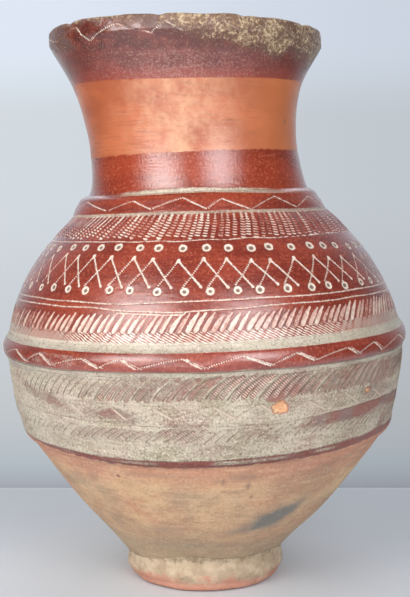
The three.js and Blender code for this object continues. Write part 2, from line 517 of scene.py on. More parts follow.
def low_line(face):
    height = low_line_height(face.angle) + 0.4 * undulation(face.angle, 0, 43, 20)
    face.scratch(face.from_line(height) - 0.25, 0.4)
    face.incise(face.from_line(height + 0.9) - 0.4, 0.75 * ridge(face.angle, 12, 28, 80, 100), 0.1)


def low_hatch(face, count=136):
    draw = np.random.default_rng(44)
    foot = spaced(count, 0, 0.5, 45)
    low = level(foot, 154.2, 4) + draw.uniform(-1, 1, count)
    high = level(foot, 163.5, 4.6) + draw.uniform(-1, 1, count)
    patchy = patches(face, 47, 0.4)
    near = face.nearest((foot + 1.4, low, foot + 5, high - 1), 3)
    face.incise(near.gap - 1.7, 0.6 * patchy, 0.3, teeth(face, 42), 2.2, 0.5 * patchy)
    # A dark line beside each pale stroke: painted shadow, over a shallow cut.
    near = face.nearest((foot, low, foot + 4.6, high), 3, 0.8)
    face.scratch(near.gap - 0.1 - 0.3 * (1 - near.share), 0.6)


def neck_nick(face):
    """A star of old scratches on the orange band."""
    ends = np.array([[56.3, 400.8, 60.4, 399.8], [57.4, 403.4, 59.2, 397.2], [59.9, 402.6, 57, 398.2]])
    face.scratch(face.nearest(ends.T).gap - 0.35, 0.6)


# Lowest and highest place of each incised pattern
PATTERNS = {
    neck_nick: (392, 408),
    rim_zigzag: (456, 478),
    collar_zigzag: (322, 345),
    upper_hatch: (298, 333),
    shoulder_line: (297, 313),
    upper_stamps: (290, 307),
    lattice: (264, 296),
    lower_stamps: (258, 276),
    double_line: (246, 270),
    leaf_strokes: (227, 261),
    leaf_combing: (220, 248),
    belly_zigzag: (202, 229),
    herringbone: (176, 215),
    belly_lines_and_cordon_shadow: (174, 217),
    low_zigzag: (162, 187),
    low_line: (155, 180),
    low_hatch: (143, 174),
}

# Chips that show the body clay: angle, height, radius and how far the crust hides them
CHIPS = ((19.2, 179.8, 6.6, 0), (48.1, 184.9, 8, 5.2), (-118, 203, 4.5, 0), (150, 171, 5, 0.3))
PIT = (-27.5, 118.5)
RIM_DENTS = (-52, -9, 24, 57, 101, 148, -101, -143)

# Soft blots, each an angle, height, half width, half height, slope and strength
FIRE_CLOUDS = (
    (17, 67, 15, 5, 0.15, 0.7), (28, 74.5, 15, 13, 0.25, 1.5), (35, 84, 13, 9, 0.6, 0.8),
    (-20, 66, 14, 5, 0, 0.35), (-6, 45, 60, 6, 0, 0.3), (128, 98, 34, 15, -0.2, 0.7),
    (-140, 70, 30, 10, 0.2, 0.5),
)
STAINS = (
    (5.5, 117.5, 1.2, 3.5, 0.2, 1), (13.6, 112.5, 1.7, 3.5, -0.3, 1.2), (15.7, 101.5, 1.3, 1.8, 0, 1.4),
    (11.5, 121, 11, 4.5, 0, 0.8), (-14, 123, 26, 2.5, 0, 0.45), (44, 125, 26, 4.5, 0.2, 0.6),
    (-20, 62, 9, 5, 0.2, 0.35), (84, 112, 3, 10, 0, 0.5), (171, 106, 4, 12, 0, 0.6),
    (-118, 110, 3, 9, 0, 0.5),
)
WORN = (
    (-55, 182, 18, 9, -0.2, 0.28), (-43, 176, 24, 7, -0.25, 0.3), (-24, 173, 22, 5, -0.1, 0.28),
    (11, 178, 14, 3, 0.15, 0.4), (17.5, 188.5, 6, 4, 0.3, 0.9), (21.5, 192, 12, 7, 0.3, 0.4),
    (11, 213, 8, 3, 0.2, -1.2), (48.5, 184, 9, 6, 0.3, 0.4), (60, 152, 16, 6, 0.2, 0.38),
    (-5, 163, 22, 3, 0.1, 0.22), (-16, 148, 30, 3, -0.1, 0.2), (88, 190, 16, 9, 0.3, 0.6),
    (140, 160, 22, 6, -0.1, 0.5), (-100, 195, 20, 7, 0.2, 0.6), (-160, 180, 18, 9, 0, 0.5),
)


def slip_edge(angle):
    """Height of the lower edge of the red slip, under the low cordon."""
    return level(angle, 131.8, 4.2, 9)


def blots(face, places):
    total = np.zeros(face.angle.shape)
    for angle, height, half_width, half_height, slope, strength in places:
        across, climb = face.from_place(angle, height)
        climb = climb - slope * across
        total += strength * np.exp(-((across / half_width) ** 2) - (climb / half_height) ** 2)
    return total


def chip_distance(face):
    """Distance to the edge of the nearest chip, as far as the crust lets it show."""
    nearest = np.full(face.angle.shape, FAR)
    for number, (angle, height, radius, hidden) in enumerate(CHIPS):
        across, climb = face.from_place(angle, height)
        ragged = undulation(np.degrees(np.arctan2(climb, across)), 0, 51 + number, 7, count=9)
        distance = np.hypot(across, climb * 1.3) - radius * (1 + 0.12 * ragged)
        nearest = np.minimum(nearest, distance + hidden)
    return nearest


def unevenness(angle, height):
    """Depth of the hand-made hollows below the solids' true round outline."""
    broad = undulation(angle, height, 61, 5, 90)
    middle = undulation(angle, height, 62, 14, 30)
    wiping = undulation(angle, height, 63, 5, 5, 16) * fade(height, 300, 200)
    lumps = 0.3 + 0.32 * undulation(angle, height, 64, 30, 14)
    for dent in RIM_DENTS:
        lumps = lumps + 1.2 * bump(angle, dent, 2.2) * fade(height, 470, 478)
    hollow = 0.75 + 0.28 * broad + 0.12 * middle + 0.07 * wiping + lumps * fade(height, 456, 468)
    return np.clip(hollow, 0.02, 2.6)


def chalk_cover(face):
    """How thickly the pale crust lies, from 0 to 1."""
    angle, height = face.angle, face.height
    belly_low, belly_high = level(angle, 208.8, 4.7), level(angle, 224, 5.8)
    foot = np.maximum(level(angle, 139.5, 6, 5), slip_edge(angle) + 2)
    line = low_line_height(angle)
    band = ridge(height, line - 14, line - 6, line - 0.6, line + 0.4) * ridge(angle, 16, 30, 80, 100)
    zone = ridge(height, foot - 4.5, foot + 2.5, belly_low - 1.5, belly_low + 0.9)
    zone = zone * (0.88 - 0.5 * band - 0.12 * undulation(angle, height, 71, 9, 40))
    edge = slip_edge(angle)
    below = 0.42 + 0.3 * undulation(angle, 0, 74, 24)
    below = below * ridge(height, edge + 0.5, edge + 3, foot - 3, foot - 0.5)
    ledge = 0.84 * ridge(height - belly_high, -2, 1, 5, 9.5)
    sides = ridge(np.abs(angle), 46, 68, 90, 130)
    leaves = (0.08 + 0.42 * sides) * ridge(height, belly_high, belly_high + 4, 238, level(angle, 254, 5))
    front = fade(np.abs(angle), 75, 20) + 0.35
    collar = 0.5 * front * ridge(height - level(angle, 343.6, 2.2, -3.4), -3.6, -1.5, 0, 4.5)
    collar_foot = 0.6 * fade(np.abs(height - level(angle, 326.0, 3.5, -1.25)), 2.8, 0.4)
    dusty = 0.42 * ridge(height, belly_low - 1, belly_low + 1, belly_high - 4, belly_high)
    dusty = dusty * (bump(angle, -42, 24) + 0.8 * bump(angle, 160, 60))
    cover = np.maximum.reduce([zone, below, ledge, leaves, collar, collar_foot, dusty])
    return cover * (1 - 0.75 * face.scraped) - np.where(cover > 0.02, blots(face, WORN), 0)


def lip_crust(angle, height):
    """How thickly the olive crust lies on the lip. It is thickest at the right of the front."""
    thick = fade(angle + 1.2 * (height - 465), -34, 34) * fade(angle, 128, 100)
    edge = 474 + 3 * undulation(angle, 0, 73, 24) - 24 * thick
    crust = fade(height, edge - 18, edge + 8) * (0.68 + 0.24 * thick)
    crust = crust + 0.16 * fade(height, 474, 478) * (1 - thick)
    return np.maximum(crust, 0.72 * bump(angle, -62, 20) * fade(height, 448, 460))


# What the shaders read at each point, and its value on plain clay
PLAIN = dict(white=FAR, dark=FAR, fill=0, comb=0, combed=0, slip=-FAR, orange=-FAR, upper=-FAR, rim=-FAR,
             chalk=0, crust=0, dust_and_painted_sheen=0, soot=0, stain=0, chip=MARK_EDGE)


def decorated(face):
    """The finish of every outer point, by name, and the depth of its marks."""
    for pattern, (low, high) in PATTERNS.items():
        near = np.flatnonzero((face.height > low) & (face.height < high))
        if len(near):
            local = face.part(near)
            pattern(local)
            face.take(near, local)
    angle, height = face.angle, face.height
    dark_edge = level(angle, 431.3, 1.5, 3.2)
    rim_edge = level(angle, 452, -1, 7) + 0.5 * undulation(angle, 0, 72, 9)
    # Paler patches: at the front of the neck, and further left on the lip, they are a painted sheen where
    # the lamps' highlights fall; round the back they are dust.
    front = -4 - 22 * fade(height, 450, 458)
    dust_and_painted_sheen = 0.75 * bump(angle, front, 26) + 0.5 * bump(angle, 118, 30) + 0.6 * bump(angle, -130, 34)
    chip = chip_distance(face)
    across, climb = face.from_place(*PIT)
    face.scratch(np.hypot(across, climb * 1.3) - 1.7, 1.6)
    hollow = 1.5 * fade(-chip, -0.6, 2.4)
    face.depth = np.where(chip < 1, np.maximum(face.depth * fade(chip, -1, 1), hollow), face.depth)
    edges = dict(
        slip=height - slip_edge(angle),
        orange=np.minimum(height - level(angle, 374.4, 3.8), dark_edge - height),
        upper=height - dark_edge,
        rim=height - rim_edge,
    )
    marks = dict(white=np.where(chip < 0.5, FAR, face.white), dark=face.dark, chip=chip)
    return {
        "fill": face.fill,
        "comb": face.comb,
        "combed": face.combed,
        "chalk": np.clip(chalk_cover(face), 0, 1),
        "crust": lip_crust(angle, height),
        "dust_and_painted_sheen": dust_and_painted_sheen,
        "soot": np.clip(blots(face, FIRE_CLOUDS), 0, 1.2),
        "stain": np.clip(blots(face, STAINS), 0, 1),
        **{name: np.clip(distance, -FAR, FAR) for name, distance in edges.items()},
        **{name: np.clip(distance, -MARK_EDGE, MARK_EDGE) for name, distance in marks.items()},
    }, face.depth


class Profile:
    """Rows of a ring-shaped piece: radius, height and length along the outline of each row."""

    def __init__(self):
        self.radius, self.height, self.rise, self.kind, self.corner = [], [], [], [], []

    def add(self, radius, height, kind, rise=None):
        """Adds rows, whose first and last are corners of the section."""
        count = len(radius)
        self.radius += list(radius)
        self.height += list(height)
        self.rise += list(along(np.array(height)) if rise is None else rise)
        self.kind += [kind] * count
        self.corner += [i in (0, count - 1) for i in range(count)]


def row_count(start, end, spacing):
    return max(2, math.ceil(abs(end - start) / spacing) + 1)


def normals(radius, height):
    """Outward directions, across and up, of rows that go up an outer face."""
    run, climb = np.gradient(radius.mean(1)), np.gradient(height.mean(1))
    return np.array([climb, -run]) / np.hypot(run, climb)


def foot_groove(angle):
    """Height of the groove between foot and bowl, which wanders."""
    return 19 + 3 * sin(angle) + 12 * np.maximum(cos(angle), 0) ** 0.7 + 1.2 * undulation(angle, 0, 81, 7)


def warped_foot(angle, radius, height):
    """Height of points near the foot's joint, moved with the groove."""
    shift = foot_groove(angle) - FOOT_SEAT
    above = (GROOVE_REACH - height) / (GROOVE_REACH - FOOT_SEAT)
    share = np.where(height < FOOT_SEAT, height / FOOT_SEAT, above)
    return height + shift * np.clip(share, 0, 1) * fade(radius, 45, 66)


def grid_faces(rows, columns, quad_rows):
    """Corner numbers of the quads of a grid that runs round the jar."""
    row = np.arange(quad_rows)[:, None] * columns
    above = (np.arange(1, quad_rows + 1)[:, None] % rows) * columns
    column = np.arange(columns)
    after = (column + 1) % columns
    return np.stack([row + column, row + after, above + after, above + column], -1).reshape(-1, 4)


def unrolled(columns, lengths):
    """Places of the quads' corners on a map on which the piece is unrolled into stacked strips."""
    total = lengths[-1]
    low, high = lengths[:-1] / total, lengths[1:] / total
    strips = max(1, round(math.sqrt(2 * math.pi * 120 / total)))
    place = np.arange(columns) * strips / columns
    strip = np.floor(place)
    left, right = place - strip, place - strip + strips / columns
    grid = np.empty((len(low), columns, 4, 2))
    for corner, (u, v) in enumerate(((left, low), (right, low), (right, high), (left, high))):
        grid[:, :, corner, 0] = np.clip(0.004 + 0.992 * u, 0, 1)[None, :]
        grid[:, :, corner, 1] = (strip[None, :] + 0.02 + 0.96 * v[:, None]) / strips
    return grid.reshape(-1, 2)


def make_mesh(name, radius, height, angle, profile, closed, values):
    """A mesh of rows and columns with a value for each point and named attribute."""
    rows, columns = radius.shape
    x = radius * sin(angle) + lean(height)
    y = -radius * cos(angle)
    points = np.stack([x, y, height], -1).reshape(-1, 3) * MM
    quad_rows = rows if closed else rows - 1
    loops = grid_faces(rows, columns, quad_rows).reshape(-1)
    steps = [np.diff([*side, side[0]]) for side in (profile.radius, profile.height)]
    lengths = np.concatenate([[0], np.cumsum(np.maximum(np.hypot(*steps), 0.2))])
    uv = unrolled(columns, lengths[: quad_rows + 1])
    starts = np.arange(0, len(loops), 4)
    if not closed:
        low_pole, high_pole = len(points), len(points) + 1
        column = np.arange(columns)
        after = (column + 1) % columns
        top = (rows - 1) * columns
        low_fan = np.stack([np.full(columns, low_pole), after, column], -1)
        high_fan = np.stack([top + column, top + after, np.full(columns, high_pole)], -1)
        middles = [[0, 0, height[0].mean()], [0, 0, height[-1].mean()]]
        points = np.vstack([points, np.array(middles) * MM])
        starts = np.concatenate([starts, len(loops) + 3 * np.arange(2 * columns)])
        loops = np.concatenate([loops, low_fan.reshape(-1), high_fan.reshape(-1)])
        uv = np.vstack([uv, np.full((6 * columns, 2), 0.001)])
    mesh = bpy.data.meshes.new(name)
    mesh.vertices.add(len(points))
    mesh.vertices.foreach_set("co", points.astype(np.float32).ravel())
    mesh.loops.add(len(loops))
    mesh.loops.foreach_set("vertex_index", loops.astype(np.int32))
    mesh.polygons.add(len(starts))
    mesh.polygons.foreach_set("loop_start", starts.astype(np.int32))
    mesh.update(calc_edges=True)
    mesh.uv_layers.new(name="OFBake").uv.foreach_set("vector", uv.astype(np.float32).ravel())
    for attribute, grid in values.items():
        flat = np.full(len(points), float(PLAIN[attribute]), np.float32)
        flat[: rows * columns] = grid.reshape(-1)
        mesh.attributes.new(attribute, "FLOAT", "POINT").data.foreach_set("value", flat)
    mark_corners(mesh, profile, columns)
    return mesh


def mark_corners(mesh, profile, columns):
    """Shades the mesh smooth, with sharp edges at the corners of its section."""
    edges = np.empty(len(mesh.edges) * 2, np.int32)
    mesh.edges.foreach_get("vertices", edges)
    row = np.minimum(edges.reshape(-1, 2) // columns, len(profile.corner))
    corner = np.array([*profile.corner, False])
    sharp = (row[:, 0] == row[:, 1]) & corner[row[:, 0]]
    mesh.shade_smooth()
    mesh.attributes.new("sharp_edge", "BOOLEAN", "EDGE").data.foreach_set("value", sharp)


def add_object(name, data):
    made = bpy.data.objects.new(name, data)
    bpy.context.scene.collection.objects.link(made)
    return made


def turned(profile, columns, tilt):
    """A section turned round the jar: the angles, and the radius, height and rise of every point."""
    angle = np.linspace(-180, 180, columns, endpoint=False)[None, :]
    rows = (profile.radius, profile.height, profile.rise)
    radius, height, rise = [np.array(values)[:, None] + 0 * angle for values in rows]
    if tilt:
        moved = level(angle, height, *tilt)
        radius = radius + wall_radius(moved) - wall_radius(height)
        rise = rise + along(moved) - along(height)
        height = moved
    return angle, radius, height, rise


def make_piece(node, slot, profile, columns, tilt=(), closed=True):
    """A piece that stands for a node: its turned section, made uneven and decorated."""
    angle, radius, height, rise = turned(profile, columns, tilt)
    outer, back, inner = [np.array(profile.kind) == kind for kind in ("face", "back", "inner")]
    flat = [np.broadcast_to(values, radius.shape)[outer].ravel() for values in (angle, height, radius, rise)]
    finish, marks = decorated(Surface(*flat))
    depth = np.where((outer | back)[:, None], unevenness(angle, height), 0)
    direction = np.zeros((2, len(outer)))
    direction[:, outer] = normals(radius[outer], height[outer])
    edge = 1
    if back.any():
        direction[:, back] = -normals(radius[back], height[back])
        edge = 1 - np.abs(np.linspace(-1, 1, outer.sum()))[:, None] ** 6
    depth[outer] += marks.reshape(-1, columns) * edge
    radius = radius - depth * direction[0][:, None]
    height = height - depth * direction[1][:, None]
    radius[inner] += 0.5 * undulation(angle, height[inner], 91, 9, 25)
    if node in ("foot_ring", "base_bowl"):
        height = warped_foot(angle, radius, height)
    values = {}
    for name, plain in PLAIN.items():
        values[name] = np.full(radius.shape, float(plain), np.float32)
        values[name][outer] = finish[name].reshape(-1, columns)
    if node in ("rim_coil", "neck_flare_coil"):
        values["slip"][inner] = np.clip(height[inner] - MOUTH_SLIP, -FAR, FAR)
        values["upper"][inner] = FAR
    mesh = make_mesh(node + "_clay", radius, height, angle, profile, closed, values)
    mesh.materials.append(materials[slot])
    piece = add_object(node + "_clay", mesh)
    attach(piece, "root")
    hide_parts(node)


def underside(radius):
    return RECESS + (FOOT_SEAT - RECESS) * (radius / FOOT_SEAT_RADIUS) ** 3


def arc(radius, height, round_radius, start, end, steps):
    angle = np.linspace(start, end, steps)
    return radius + round_radius * cos(angle), height + round_radius * sin(angle)


def foot_ring():
    profile = Profile()
    edge_radius, edge_height = arc(FOOT_REST - FOOT_EDGE, FOOT_EDGE, FOOT_EDGE, -90, 0, 9)
    height = np.linspace(FOOT_EDGE, FOOT_SEAT - 0.1, 16)[1:]
    swell = np.sin(np.clip((height - FOOT_EDGE) / (FOOT_SWELL_HEIGHT - FOOT_EDGE), 0, 1) * np.pi / 2)
    seat = fade(height, FOOT_SWELL_HEIGHT, FOOT_SEAT)
    radius = FOOT_REST + (FOOT_SWELL - FOOT_REST) * swell - (FOOT_SWELL - FOOT_SEAT_RADIUS + 0.15) * seat
    profile.add([*edge_radius, *radius], [*edge_height, *height], "face")
    seat_radius = np.linspace(FOOT_SEAT_RADIUS - 4, FOOT_BORE, 6)
    profile.add(seat_radius, underside(seat_radius) - SLIP, "joint")
    profile.add([FOOT_BORE, FOOT_BORE], [8, 3], "joint")
    profile.add([FOOT_BORE + 2, 57], [0, 0], "joint")
    make_piece("foot_ring", "foot_clay", profile, 480)


def base_bowl():
    course = COURSES["base_bowl"]
    profile = Profile()
    under = np.linspace(3, FOOT_SEAT_RADIUS - 3.5, 20)
    profile.add(under, underside(under), "joint")
    height = np.linspace(FOOT_SEAT, course["top"], row_count(FOOT_SEAT, course["top"], course["spacing"]))
    groove = 0.15 * fade(height, FOOT_SEAT + 5, FOOT_SEAT)
    profile.add(wall_radius(height) - groove, height, "face")
    inner_height = np.linspace(course["top"] + SCARF, FOOT_SEAT + 8, 10)
    profile.add(*wall_point(inner_height, WALL), "inner")
    floor_radius = np.linspace(FOOT_BORE, 3, 8)
    profile.add(floor_radius, underside(floor_radius) + FLOOR, "inner")
    make_piece("base_bowl", course["slot"], profile, course["columns"], closed=False)


def coil(node, bottom):
    course = COURSES[node]
    profile = Profile()
    top = course["top"]
    count = row_count(along(bottom), along(top), course["spacing"])
    height = np.interp(np.linspace(along(bottom), along(top), count), outline_lengths, outline_heights)
    profile.add(wall_radius(height), height, "face")
    inner_height = np.linspace(top + SCARF, bottom + SCARF + SLIP, row_count(bottom, top, 5))
    profile.add(*wall_point(inner_height, WALL), "inner")
    make_piece(node, course["slot"], profile, course["columns"])


def rim_coil():
    profile = Profile()
    bottom = COURSES["neck_flare_coil"]["top"]
    mouth = LIP_RADIUS - LIP_THICKNESS
    inner_round = mouth + LIP_INNER_ROUND
    face = np.linspace(bottom, LIP_FACE, 15)
    upright = np.linspace(LIP_FACE, JAR_HEIGHT - LIP_OUTER_ROUND, 10)[1:]
    outer = arc(LIP_RADIUS - LIP_OUTER_ROUND, JAR_HEIGHT - LIP_OUTER_ROUND, LIP_OUTER_ROUND, 0, 90, 8)
    top = np.linspace(LIP_RADIUS - LIP_OUTER_ROUND, inner_round, 6)[1:-1]
    inner = arc(inner_round, JAR_HEIGHT - LIP_INNER_ROUND, LIP_INNER_ROUND, 90, 180, 9)
    low_radius, low_height = wall_point(bottom + SCARF + SLIP, WALL)
    down = np.linspace(1, 0, 10)[1:]
    inner_radius = low_radius + (mouth - low_radius) * down
    inner_height = low_height + (JAR_HEIGHT - LIP_INNER_ROUND - low_height) * down
    lip_radius = np.full(len(upright), LIP_RADIUS)
    radius = np.concatenate([wall_radius(face), lip_radius, outer[0][1:], top, inner[0], inner_radius])
    lip_height = np.full(len(top), JAR_HEIGHT)
    height = np.concatenate([face, upright, outer[1][1:], lip_height, inner[1], inner_height])
    rise = along(bottom) + np.concatenate([[0], np.cumsum(np.hypot(np.diff(radius), np.diff(height)))])
    profile.add(radius, height, "face", rise)
    make_piece("rim_coil", "dark_slip", profile, 960)


def cordon(node, slot, columns, middle, half, relief, tilt, section):
    profile = Profile()
    height = np.linspace(middle - half, middle + half, row_count(-half, half, 0.75))
    share = np.linspace(0, 1, len(section))
    raised = np.interp((height - middle + half) / (2 * half), share, section)
    kernel = np.hanning(7) / np.hanning(7).sum()
    raised = np.convolve(np.pad(raised, 3, mode="edge"), kernel, mode="valid")
    profile.add(wall_radius(height) + 0.05 + raised * relief, height, "face")
    profile.add(wall_radius(height[::-1]) + 0.02, height[::-1], "back")
    make_piece(node, slot, profile, columns, tilt)


# Shaders


def rgb(code):
    """A colour that is written as in the photograph, in Blender's linear values."""
    parts = [int(code[i : i + 2], 16) / 255 for i in (1, 3, 5)]
    return (*[p / 12.92 if p < 0.04045 else ((p + 0.055) / 1.055) ** 2.4 for p in parts], 1)


class Value:
    """What a node gives. Its sums, products and fades are nodes too."""

    def __init__(self, nodes, socket):
        self.nodes, self.socket = nodes, socket

    def __add__(self, other):
        return self.nodes.math("ADD", self, other)

    def __sub__(self, other):
        return self.nodes.math("SUBTRACT", self, other)

    def __rsub__(self, other):
        return self.nodes.math("SUBTRACT", other, self)

    def __mul__(self, other):
        return self.nodes.math("MULTIPLY", self, other)

    def __truediv__(self, other):
        return self.nodes.math("DIVIDE", self, other)

    def __rtruediv__(self, other):
        return self.nodes.math("DIVIDE", other, self)

    def __abs__(self):
        return self.nodes.math("ABSOLUTE", self)

    def fade(self, start, end):
        inputs = {"Value": self, "From Min": start, "From Max": end}
        return self.nodes.node("ShaderNodeMapRange", inputs, interpolation_type="SMOOTHSTEP")


class Nodes:
    """A node tree, whose colours are written as for rgb."""

    def __init__(self, tree):
        self.tree = tree

    def feed(self, node, inputs):
        """Links or sets the inputs of a node."""
        for key, value in inputs.items():
            if isinstance(value, Value):
                self.tree.links.new(value.socket, node.inputs[key])
            else:
                node.inputs[key].default_value = rgb(value) if isinstance(value, str) else value

    def node(self, kind, inputs, output=0, **settings):
        made = self.tree.nodes.new(kind)
        for name, value in settings.items():
            setattr(made, name, value)
        self.feed(made, inputs)
        return Value(self, made.outputs[output])

    def math(self, operation, a, b=0):
        return self.node("ShaderNodeMath", {0: a, 1: b}, operation=operation)

    def mix(self, factor, a, b, blend="MIX"):
        return self.node("ShaderNodeMix", {0: factor, 6: a, 7: b}, 2, data_type="RGBA", blend_type=blend)

    def axes(self, coordinate):
        """X, Y and Z of a texture coordinate."""
        place = self.node("ShaderNodeTexCoord", {}, coordinate)
        return [self.node("ShaderNodeSeparateXYZ", {0: place}, axis) for axis in "XYZ"]


class Shader(Nodes):
    """A material that grows by layers of colour, roughness and relief."""

    def __init__(self, name):
        self.material = bpy.data.materials.new(name)
        self.material.use_nodes = True
        super().__init__(self.material.node_tree)
        self.place = self.node("ShaderNodeTexCoord", {}, "Object")
        self.across, _, upward = self.axes("Object")
        self.height = upward * (1 / MM)

    def blend(self, factor, a, b):
        return self.node("ShaderNodeMix", {0: factor, 2: a, 3: b}, data_type="FLOAT")

    def attribute(self, name):
        return self.node("ShaderNodeAttribute", {}, "Fac", attribute_name=name)

    def noise(self, scale, detail=3, roughness=0.55, stretch=1, shift=0):
        """Noise with `scale` cells a metre, drawn out round the jar where stretch is under 1."""
        place = self.place
        if stretch != 1 or shift:
            inputs = {"Vector": place, "Scale": (stretch, stretch, 1), "Location": (shift, shift, shift)}
            place = self.node("ShaderNodeMapping", inputs)
        inputs = {"Vector": place, "Scale": scale, "Detail": detail, "Roughness": roughness}
        return self.node("ShaderNodeTexNoise", inputs, "Fac")

    def tinted(self, colour, *tints):
        """A colour under tints, each of them a mask, the most that it covers and its colour."""
        for mask, share, tint in tints:
            colour = self.mix(mask * share, colour, tint)
        return colour

    def cover(self, mask, colour, roughness):
        self.colour = self.mix(mask, self.colour, colour)
        self.roughness = self.blend(mask, self.roughness, roughness)

    def finish(self, gloss):
        """Connects the layers. Gloss over one half adds a clear coat."""
        bumps = self.node("ShaderNodeBump", {"Height": self.relief, "Strength": 1, "Distance": MM})
        self.feed(self.tree.nodes["Principled BSDF"], {
            "Base Color": self.colour,
            "Roughness": self.roughness,
            "Normal": bumps,
            "Coat Normal": bumps,
            "Specular IOR Level": gloss,
            "Coat Weight": 1.6 * max(gloss - 0.5, 0),
            "Coat Roughness": 0.2,
        })
        return self.material


def wiped_clay(shader):
    """Bare clay, wiped round while damp: peach above, greyer towards the foot."""
    broad = shader.noise(14)
    streaks = shader.noise(300, 5, 0.6, stretch=0.16)
    grit = shader.noise(420, 5, 0.8, shift=9)
    shader.colour = shader.tinted(
        shader.mix(broad.fade(0.38, 0.6), "#be9374", "#d3ac86"),
        (shader.noise(24, 4, shift=8).fade(0.5, 0.66), 0.6, "#dfbd90"),
        (shader.noise(20, 5, 0.65, shift=4).fade(0.44, 0.7), 0.7, "#c98a6e"),
        (shader.noise(26, 5, 0.7, 0.6, 15).fade(0.47, 0.66), 0.6, "#a28c74"),
        ((shader.height + broad * 60).fade(110, 66), 1, "#b8a084"),
        ((shader.height + broad * 30).fade(122, 146), 0.6, "#c9806a"),
        (streaks.fade(0.48, 0.72), 0.45, "#dfc09e"),
        (streaks.fade(0.46, 0.3), 0.4, "#9f8066"),
        (shader.noise(60, 5, 0.65, shift=2).fade(0.46, 0.68), 0.3, "#9c8068"),
        (grit.fade(0.52, 0.68), 0.5, "#e6caa8"),
        (grit.fade(0.48, 0.34), 0.5, "#8d6c54"),
        (shader.noise(700, 2).fade(0.64, 0.72), 0.35, "#8a6a55"),
    )
    shader.roughness = shader.blend(streaks, 0.7, 0.95)
    shader.relief = streaks * 0.25 + shader.noise(1200) * 0.1


def foot_wash(shader):
    """Greyish cream wash over the foot, rubbed down to salmon clay along its lower edge, and darker towards
    the groove under the bowl, as dirt and painted shade.
    """
    mottled = shader.noise(70, 5, 0.6)
    rubbed = (shader.height - shader.noise(60, 5, 0.65, shift=6) * 46).fade(-8, -18)
    joint = shader.height.fade(22, 31)
    dirt_and_groove_shade = shader.noise(120, 6, 0.75, shift=3) + joint * 0.12
    shader.cover(0.75, shader.mix(mottled.fade(0.4, 0.6), "#b09a80", "#d0bba0"), 0.85)
    shader.cover(rubbed * 0.75, "#cb8570", 0.8)
    # Darker, greyer clay and more dark flecks towards the groove under the bowl: dirt and painted shade.
    shader.cover(joint * 0.3, "#9a8670", 0.9)
    shader.cover(dirt_and_groove_shade.fade(0.56, 0.68) * 0.65, "#75664f", 0.9)
    shader.relief += mottled * 0.8


def red_slip(shader):
    """Burnished red slip, more mauve below the neck, with a worn edge that the slips over it share."""
    shader.slipped = (shader.attribute("slip") + (shader.noise(160, 6, 0.7) - 0.5) * 9).fade(-0.6, 0.8)
    tone = shader.noise(60, stretch=0.35).fade(0.35, 0.65)
    streaks = shader.noise(420, 3, 0.6, stretch=0.08)
    fine = shader.noise(480, 5, 0.8, shift=2)
    body = shader.mix(shader.height.fade(152, 142), shader.mix(tone, "#7f2b1e", "#9a3d2b"), "#6d2c24")
    neck = shader.mix(tone, "#8c3019", "#a43e21")
    colour = shader.tinted(
        shader.mix(shader.height.fade(326, 346), body, neck),
        (streaks.fade(0.48, 0.76), 0.5, "#b1502f"),
        (fine.fade(0.5, 0.38), 0.4, "#5f1d13"),
        (fine.fade(0.53, 0.67), 0.75, "#c9785c"),
    )
    shader.cover(shader.slipped, colour, shader.blend(streaks, 0.14, 0.28))
    shader.relief += streaks * 0.08
    shader.relief += shader.noise(420, 4, 0.7, shift=11) * 0.22


def orange_band(shader):
    """The band left in orange clay, burnished along the neck, with light and highlight painted on its right
    side and front.
    """
    mask = (shader.attribute("orange") + (shader.noise(180, 4) - 0.5) * 3).fade(-0.9, 0.9)
    streaks = shader.noise(480, 3, 0.6, stretch=0.07)
    colour = shader.tinted(
        shader.mix(shader.noise(35, stretch=0.5).fade(0.35, 0.68), "#b05426", "#c96b3c"),
        (streaks.fade(0.5, 0.78), 1, "#a2522e"),
        # Painted light: the band is brighter orange towards +X, the side that the right lamp lights.
        (shader.across.fade(0.015, 0.07), 0.55, "#dd7f45"),
        # Paler patches: a painted highlight at the front of the neck, dust round the back.
        (shader.attribute("dust_and_painted_sheen"), shader.noise(70, 5, 0.65, shift=6).fade(0.3, 0.7), "#e2aa80"),
    )
    shader.cover(mask, colour, shader.blend(streaks, 0.42, 0.55))


def dark_band(shader):
    """Darker slip from the band to the lip and over it."""
    upper = shader.attribute("upper")
    mask = (upper + (shader.noise(180, 4) - 0.5) * 2).fade(-0.7, 0.7)
    # The bloom is thicker towards the front of the lip, where it is a painted sheen, and on patches round
    # the back.
    bloom = shader.noise(560, 4, 0.75, shift=5) + shader.attribute("dust_and_painted_sheen") * 0.1
    colour = shader.tinted(
        shader.mix(shader.noise(50, stretch=0.4).fade(0.38, 0.62), "#6c261e", "#8b382d"),
        ((upper + shader.noise(90, 4) * 14).fade(18, 6), 0.7, "#9c4030"),
        (bloom.fade(0.53, 0.7), 0.42, "#c9a294"),
    )
    shader.cover(mask * shader.slipped, colour, 0.3)


def dark_rim(shader):
    """Browner slip on the lip, with a fine pale bloom."""
    tone = shader.noise(90, 4).fade(0.4, 0.65)
    shader.cover(shader.attribute("rim").fade(-4, 2.5), shader.mix(tone, "#5c2219", "#7a3529"), 0.22)
    shader.cover(shader.noise(600, 5, 0.8, shift=5).fade(0.56, 0.64) * 0.6, "#b98f6c", 0.4)


def worn_slip(shader):
    """Mauve and rose slip that has lost its gloss, as it shows through the crust."""
    tone = shader.noise(60, 4, shift=7).fade(0.4, 0.6)
    share = shader.height.fade(138, 152) * 0.6 + 0.22
    shader.cover(share * shader.slipped, shader.mix(tone, "#97655a", "#8f7870"), 0.6)


